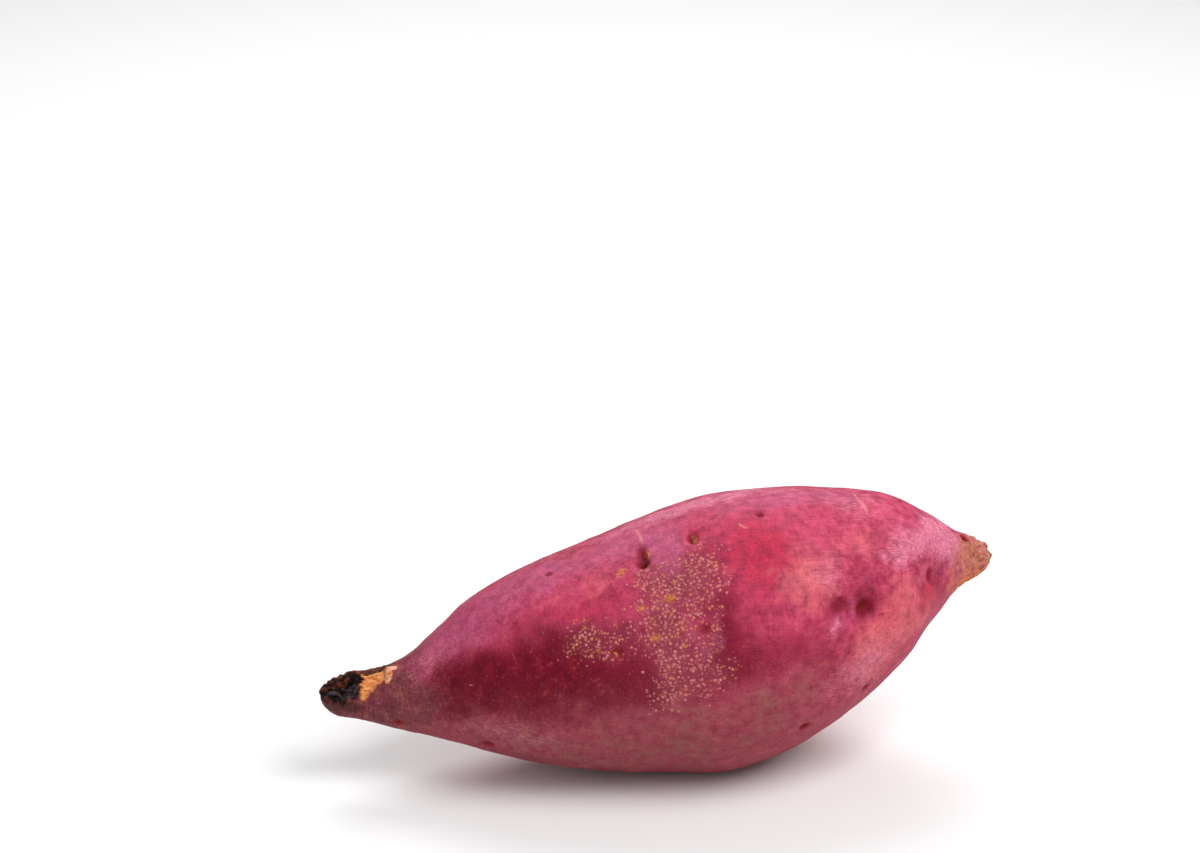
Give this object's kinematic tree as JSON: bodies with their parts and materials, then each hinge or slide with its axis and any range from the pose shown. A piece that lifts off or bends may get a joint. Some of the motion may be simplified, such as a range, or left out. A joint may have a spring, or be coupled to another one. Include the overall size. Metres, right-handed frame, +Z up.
{
  "type": "sweet potato",
  "caption": "Whole red-skinned sweet potato lying on its belly: a spindle-shaped storage root with a torn slender stem end and a corky tail end.",
  "frame": {"origin": "bottom centre of the root's box, on the surface that it rests on", "axes": "+X from the torn stem end to the corky tail end, +Z up, -Y to the front, where the torn hollow faces"},
  "size_m": [0.182, 0.073, 0.0741],
  "materials": {
    "skin": "satin"
  },
  "bodies": {
    "root": {"sweet_potato": "skin"}
  },
  "joints": []
}
